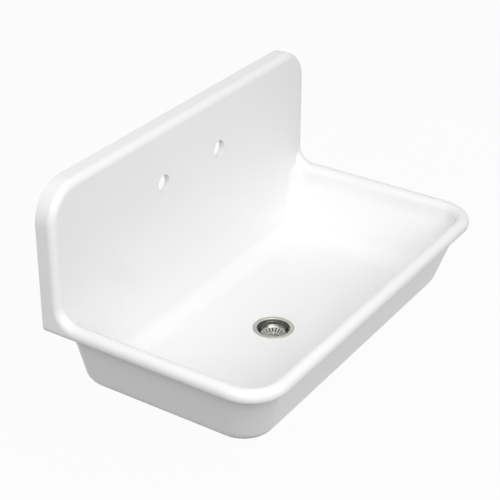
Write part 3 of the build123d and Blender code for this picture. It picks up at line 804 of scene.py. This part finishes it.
class SINK_OT_strainer(Operator):
    """Strainer body with its threads, and its crossbar"""

    bl_idname = "sink.strainer"
    bl_label = "Strainer"

    def execute(self, context):
        forms = context.scene.sink_forms
        steel = strainer_finish()
        neck_root = NECK_RADIUS - THREAD_DEPTH
        spout_root = SPOUT_RADIUS - THREAD_DEPTH
        shell_corner = CUP_CORNER + CUP_WALL / 2
        mesh = turned(
            [
                (MOUTH_RADIUS + FLANGE_SHEET, 0, 1.2 * MILLIMETRE),
                (STRAINER.radius, 0, 1.1 * MILLIMETRE),
                (STRAINER.radius, -FLANGE_SHEET, 0.3 * MILLIMETRE),
                (NECK_RADIUS, -FLANGE_SHEET, 0),
                (NECK_RADIUS, -2 * FLANGE_SHEET, 0),
                (neck_root, -2 * FLANGE_SHEET, 0),
                (neck_root, -NECK_LENGTH, 0.3 * MILLIMETRE),
                (MOUTH_RADIUS, -NECK_LENGTH - CUP_WALL, 0.8 * MILLIMETRE),
                (MOUTH_RADIUS, SHELL_BOTTOM + shell_corner, 2.5 * MILLIMETRE),
                (MOUTH_RADIUS - shell_corner, SHELL_BOTTOM, 2.5 * MILLIMETRE),
                (SPOUT_RADIUS, SHELL_BOTTOM, 0.8 * MILLIMETRE),
                (SPOUT_RADIUS, SHELL_BOTTOM - SPOUT_FREE, 0),
                (spout_root, SHELL_BOTTOM - SPOUT_FREE, 0),
                (spout_root, STRAINER.bottom, 0.3 * MILLIMETRE),
                (OUTLET_RADIUS, STRAINER.bottom, 0.3 * MILLIMETRE),
                (OUTLET_RADIUS, -CUP_DEPTH, 0.6 * MILLIMETRE),
                (CUP_RADIUS - CUP_CORNER, -CUP_DEPTH, 2 * MILLIMETRE),
                (CUP_RADIUS, -CUP_DEPTH + CUP_CORNER, 2 * MILLIMETRE),
                (CUP_RADIUS, -LEDGE_DROP, 0.4 * MILLIMETRE),
                (MOUTH_RADIUS, -LEDGE_DROP, 0.3 * MILLIMETRE),
                (MOUTH_RADIUS, -FLANGE_SHEET, 0.8 * MILLIMETRE),
            ]
        )
        add_thread(mesh, NECK_RADIUS, -2 * FLANGE_SHEET, THREAD_END - NECK_LENGTH, forms.neck_pitch)
        spout_start = SHELL_BOTTOM - SPOUT_FREE
        add_thread(mesh, SPOUT_RADIUS, spout_start, STRAINER.bottom + THREAD_END, forms.spout_pitch)
        shade_evenly(show(mesh, "strainer_body", "fixture", steel))
        mesh = rounded_copy("strainer_crossbar", forms.washer_edge)
        shade_evenly(show(mesh, "strainer_crossbar", "fixture", steel))
        return {"FINISHED"}


class SINK_OT_seals(Operator):
    """Putty, gasket, friction ring and tailpiece washer"""

    bl_idname = "sink.seals"
    bl_label = "Seals"

    def execute(self, context):
        edge = context.scene.sink_forms.washer_edge
        fittings = context.scene.sink_fittings
        putty = soft_finish(
            "putty",
            fittings.putty_colour,
            fittings.putty_bloom,
            roughness=0.7,
            grain_scale=900,
            grain_depth=0.1 * MILLIMETRE,
        )
        rubber = soft_finish(
            "rubber",
            fittings.rubber_colour,
            fittings.rubber_bloom,
            roughness=0.6,
            grain_scale=1500,
            grain_depth=0.04 * MILLIMETRE,
        )
        fibre = soft_finish(
            "fibre",
            fittings.fibre_colour,
            fittings.fibre_bloom,
            roughness=0.85,
            grain_scale=2200,
            grain_depth=0.08 * MILLIMETRE,
        )
        plastic = soft_finish(
            "washer_plastic",
            fittings.plastic_colour,
            fittings.plastic_bloom,
            roughness=0.35,
            grain_scale=600,
            grain_depth=0.01 * MILLIMETRE,
        )
        rings = (
            ("putty_ring", NECK_RADIUS + RECESS_GAP, 2 * edge, "putty", putty),
            ("body_gasket", NECK_RADIUS + NUT_FIT, 2 * edge, "rubber", rubber),
            ("friction_ring", NECK_RADIUS + NUT_FIT, edge / 2, "fibre", fibre),
            ("tailpiece_washer", OUTLET_RADIUS, edge, "washer_plastic", plastic),
        )
        for node, bore, rounding, slot, material in rings:
            shade_evenly(show(turned_ring(Section(node), bore, rounding), node, "fixture", material))
        return {"FINISHED"}


class SINK_OT_nuts(Operator):
    """Cast locknut and coupling nut"""

    bl_idname = "sink.nuts"
    bl_label = "Nuts"

    def execute(self, context):
        zinc = plated_finish(
            "zinc",
            context.scene.sink_fittings.zinc_colour,
            roughness=0.42,
            grain_scale=900,
            grain_depth=0.06 * MILLIMETRE,
        )
        for node in ("locknut", "coupling_nut"):
            mesh = rounded_copy(node, context.scene.sink_forms.nut_edge)
            shade_evenly(show(mesh, node, "fixture", zinc))
        return {"FINISHED"}


class SINK_OT_tailpiece(Operator):
    """Chrome-plated tailpiece with its flange"""

    bl_idname = "sink.tailpiece"
    bl_label = "Tailpiece"

    def execute(self, context):
        chrome = plated_finish(
            "tail_chrome",
            context.scene.sink_fittings.chrome_colour,
            roughness=0.08,
            grain_scale=300,
            grain_depth=0.004 * MILLIMETRE,
        )
        section = Section("tailpiece")
        bore = TUBE_RADIUS - TUBE_SHEET
        flange_bottom = section.top - FLANGE_SHEET
        mesh = turned(
            [
                (bore, section.top, 1 * MILLIMETRE),
                (section.radius, section.top, 0.4 * MILLIMETRE),
                (section.radius, flange_bottom, 0.4 * MILLIMETRE),
                (TUBE_RADIUS, flange_bottom, 0.6 * MILLIMETRE),
                (TUBE_RADIUS, section.bottom, 0.4 * MILLIMETRE),
                (bore, section.bottom, 0.4 * MILLIMETRE),
            ]
        )
        shade_evenly(show(mesh, "tailpiece", "fixture", chrome))
        return {"FINISHED"}


class SINK_OT_basket(Operator):
    """Basket that lifts out of the strainer, with its slotted cone"""

    bl_idname = "sink.basket"
    bl_label = "Basket"

    def execute(self, context):
        section = Section("basket_cup")
        lip = section.top - SHEET / 2
        floor = section.bottom + SHEET / 2
        waist = floor + WAIST_RISE
        centre_hole = Section("basket_post").radius + POST_FIT
        rows = [(BASKET_FLOOR_RADIUS, floor, 0.8 * MILLIMETRE)]
        inner_rows = [SLOT_INNER + row for row in SLOT_END_ROWS]
        outer_rows = [SLOT_OUTER - row for row in reversed(SLOT_END_ROWS)]
        for radius in inner_rows + outer_rows:
            share = (radius - BASKET_FLOOR_RADIUS) / (WAIST_RADIUS - BASKET_FLOOR_RADIUS)
            rows.append((radius, floor + share * WAIST_RISE, 0))
        mesh = turned(
            [
                (centre_hole, floor, 0),
                *rows,
                (WAIST_RADIUS, waist, 0.5 * MILLIMETRE),
                (BASKET_WALL_RADIUS, lip - SHOULDER_DROP, 2.5 * MILLIMETRE),
                (BASKET_WALL_RADIUS, lip, 0.9 * MILLIMETRE),
                (section.radius - SHEET / 4, lip, 0),
            ],
            closed=False,
            steps=SLOT_COUNT * SLOT_SECTORS,
        )
        self.cut_slots(mesh)
        piece = show(mesh, "basket_cup", "basket", basket_finish())
        sheet = piece.modifiers.new("Sheet", "SOLIDIFY")
        sheet.thickness = SHEET
        sheet.offset = 0
        sheet.use_even_offset = True
        edge = piece.modifiers.new("Cut edges", "BEVEL")
        edge.width = context.scene.sink_forms.slot_edge
        edge.segments = 2
        edge.angle_limit = HARD_ANGLE
        shade_evenly(piece)
        return {"FINISHED"}

    def cut_slots(self, mesh):
        """Opens the slots in the cone, with straight sides and round ends."""
        pitch = FULL_TURN / SLOT_COUNT
        first = SLOT_INNER + SLOT_END_ROWS[0] - HAIR
        last = SLOT_OUTER - SLOT_END_ROWS[0] + HAIR
        opened = []
        for face in mesh.faces:
            _, sector, radius = self.in_slot(face.calc_center_median(), pitch)
            if abs(sector) < 1 and first < radius < last:
                opened.append(face)
        bmesh.ops.delete(mesh, geom=opened, context="FACES")
        for vert in mesh.verts:
            middle, sector, radius = self.in_slot(vert.co, pitch)
            side = round(sector)
            if abs(side) == 1 and first < radius < last:
                round_part = max(0, SLOT_HALF - min(radius - SLOT_INNER, SLOT_OUTER - radius))
                half = math.sqrt(SLOT_HALF**2 - round_part**2)
                turn = middle + side * math.asin(half / radius)
                vert.co.x = DRAIN_TOP.x + radius * math.cos(turn)
                vert.co.y = DRAIN_TOP.y + radius * math.sin(turn)

    def in_slot(self, point, pitch):
        """The middle of the nearest slot, how many sectors the point lies from it, and the point's radius."""
        offset = point - DRAIN_TOP
        angle = math.atan2(offset.y, offset.x)
        middle = round(angle / pitch) * pitch
        return middle, (angle - middle) * SLOT_SECTORS / pitch, math.hypot(offset.x, offset.y)


class SINK_OT_stopper(Operator):
    """Post, knob, stopper and the small parts that clamp it"""

    bl_idname = "sink.stopper"
    bl_label = "Stopper"

    def execute(self, context):
        edge = context.scene.sink_forms.washer_edge
        chrome = plated_finish(
            "knob_chrome",
            context.scene.sink_steel.knob_colour,
            roughness=0.1,
            grain_scale=400,
            grain_depth=0.004 * MILLIMETRE,
        )
        brass = plated_finish(
            "brass",
            context.scene.sink_fittings.brass_colour,
            roughness=0.3,
            grain_scale=700,
            grain_depth=0.03 * MILLIMETRE,
        )
        # These two are the frame's own plain materials, which were there first under these names.
        rubber = bpy.data.materials["rubber"]
        steel = bpy.data.materials["basket_steel"]
        post = Section("basket_post")
        disc = Section("basket_stopper")
        washer = Section("stopper_washer")
        ring = Section("post_ring")
        forms = (
            ("basket_post", self.post_form(post), "basket_steel", steel),
            ("basket_knob", self.knob_form(Section("basket_knob"), post), "knob_chrome", chrome),
            ("basket_stopper", turned_ring(disc, post.radius, 3 * edge), "rubber", rubber),
            ("stopper_washer", turned_ring(washer, post.radius, edge), "basket_steel", steel),
            ("stopper_nut", rounded_copy("stopper_nut", edge), "brass", brass),
            ("post_ring", turned_ring(ring, post.radius, edge), "rubber", rubber),
        )
        for node, mesh, slot, material in forms:
            shade_evenly(show(mesh, node, "stopper", material))
        return {"FINISHED"}

    def post_form(self, post):
        """The post, pointed a little at its lower end."""
        taper = post.radius / 2
        return turned(
            [
                (0, post.top, 0),
                (post.radius, post.top, 0.2 * MILLIMETRE),
                (post.radius, post.bottom + taper, 0.5 * MILLIMETRE),
                (post.radius - taper, post.bottom, 0.5 * MILLIMETRE),
                (0, post.bottom, 0),
            ],
            closed=False,
        )

    def knob_form(self, knob, post):
        """The knob, domed on top and drawn in below, with a socket for the post."""
        height = knob.top - knob.bottom
        crown = 0.45 * knob.radius
        shoulder = knob.top - 0.3 * height
        belly = knob.top - 0.5 * height
        neck = 0.7 * knob.radius
        return turned(
            [
                (0, knob.top, 0),
                (crown, knob.top, 1.5 * MILLIMETRE),
                (knob.radius, shoulder, 1 * MILLIMETRE),
                (knob.radius, belly, 1 * MILLIMETRE),
                (neck, knob.bottom, 0.5 * MILLIMETRE),
                (post.radius, knob.bottom, 0),
                (post.radius, post.top, 0),
                (0, post.top, 0),
            ],
            closed=False,
        )


class SINK_OT_stage(Operator):
    """Floor, soft light and camera"""

    bl_idname = "sink.stage"
    bl_label = "Stage"

    def execute(self, context):
        settings = context.scene.sink_stage
        self.add_floor(context, settings)
        self.light_world(context, settings)
        self.add_lamp(context, settings, "key", settings.key, Vector(settings.key_place))
        self.add_lamp(context, settings, "side", settings.side, Vector(settings.side_place))
        self.add_camera(context, settings)
        context.scene.view_settings.view_transform = "Standard"
        return {"FINISHED"}

    def add_floor(self, context, settings):
        """A wide pale floor that keeps the sink's shadow."""
        finish = Finish("floor", Roughness=0.9, Specular_IOR_Level=0.1)
        shown = finish.shown_rays()
        finish.set("Base Color", finish.mix(shown, settings.floor_bounce, settings.floor_colour))
        plain = Signal(finish, finish.shader.outputs["BSDF"])
        white = finish.node("ShaderNodeEmission", {}, {"Color": WHITE, "Strength": 1})
        mixed = finish.mix_shaders(shown * settings.floor_white, plain, white)
        finish.feed(finish.output.inputs["Surface"], mixed)
        mesh = bmesh.new()
        level = Matrix.Translation((0, 0, RIM_LEVEL - settings.floor_drop))
        bmesh.ops.create_grid(mesh, x_segments=1, y_segments=1, size=settings.floor_size, matrix=level)
        data = bpy.data.meshes.new("floor")
        mesh.to_mesh(data)
        mesh.free()
        data.materials.append(finish.material)
        floor = bpy.data.objects.new("floor", data)
        context.scene.collection.objects.link(floor)

    def light_world(self, context, settings):
        """White all round for the eye and for reflections, and a plain level of light on the object."""
        world = bpy.data.worlds.new("studio")
        context.scene.world = world
        world.use_nodes = True
        nodes = Nodes(world.node_tree)
        light = nodes.node("ShaderNodeBackground", {}, {"Color": WHITE, "Strength": settings.ambient})
        white = nodes.node("ShaderNodeBackground", {}, {"Color": WHITE, "Strength": 1})
        mixed = nodes.mix_shaders(nodes.shown_rays(), light, white)
        nodes.node("ShaderNodeOutputWorld", {}, {"Surface": mixed})

    def add_lamp(self, context, settings, name, power, place):
        """One large soft lamp, aimed at the bowl."""
        lamp = bpy.data.lights.new(name, "AREA")
        lamp.shape = "DISK"
        lamp.size = settings.lamp_size
        lamp.energy = power
        light = bpy.data.objects.new(name, lamp)
        aim = DRAIN_TOP - place
        light.matrix_world = Matrix.Translation(place) @ aim.to_track_quat("-Z", "Y").to_matrix().to_4x4()
        light.visible_camera = False
        context.scene.collection.objects.link(light)

    def add_camera(self, context, settings):
        """The photograph's viewpoint."""
        yaw, pitch, roll = settings.yaw, settings.pitch, settings.roll
        ahead = Vector((math.sin(yaw) * math.cos(pitch), math.cos(yaw) * math.cos(pitch), -math.sin(pitch)))
        level_right = Vector((math.cos(yaw), -math.sin(yaw), 0))
        level_up = level_right.cross(ahead)
        right = level_right * math.cos(roll) + level_up * math.sin(roll)
        up = level_up * math.cos(roll) - level_right * math.sin(roll)
        lens = bpy.data.cameras.new("camera")
        lens.sensor_width = settings.sensor
        lens.lens = settings.lens
        camera = bpy.data.objects.new("camera", lens)
        turn = Matrix((right, up, -ahead)).transposed().to_4x4()
        camera.matrix_world = Matrix.Translation(settings.camera_place) @ turn
        context.scene.collection.objects.link(camera)
        context.scene.camera = camera


PIECES = (
    SINK_OT_casting,
    SINK_OT_hangers,
    SINK_OT_strainer,
    SINK_OT_seals,
    SINK_OT_nuts,
    SINK_OT_tailpiece,
    SINK_OT_basket,
    SINK_OT_stopper,
    SINK_OT_stage,
)
SETTINGS = {
    "sink_forms": SINK_PG_forms,
    "sink_enamel": SINK_PG_enamel,
    "sink_steel": SINK_PG_steel,
    "sink_fittings": SINK_PG_fittings,
    "sink_stage": SINK_PG_stage,
}


class SINK_PT_pieces(Panel):
    """Lists the pieces and their settings"""

    bl_idname = "SINK_PT_pieces"
    bl_label = "Wall-hung kitchen sink"
    bl_space_type = "VIEW_3D"
    bl_region_type = "UI"
    bl_category = "Sink"

    def draw(self, context):
        for piece in PIECES:
            self.layout.operator(piece.bl_idname)
        for name, group in SETTINGS.items():
            box = self.layout.box()
            for setting in group.__annotations__:
                box.prop(getattr(context.scene, name), setting)


CLASSES = (*SETTINGS.values(), *PIECES, SINK_PT_pieces)


def register():
    """Makes the classes and their settings known."""
    for kind in CLASSES:
        bpy.utils.register_class(kind)
    for name, group in SETTINGS.items():
        setattr(bpy.types.Scene, name, PointerProperty(type=group))


def unregister():
    """Takes the settings and the classes out again."""
    for name in SETTINGS:
        delattr(bpy.types.Scene, name)
    for kind in reversed(CLASSES):
        bpy.utils.unregister_class(kind)


def main():
    """Builds the whole sink."""
    register()
    bpy.ops.sink.casting()
    bpy.ops.sink.hangers()
    bpy.ops.sink.strainer()
    bpy.ops.sink.seals()
    bpy.ops.sink.nuts()
    bpy.ops.sink.tailpiece()
    bpy.ops.sink.basket()
    bpy.ops.sink.stopper()
    bpy.ops.sink.stage()


if __name__ == "__main__":
    main()
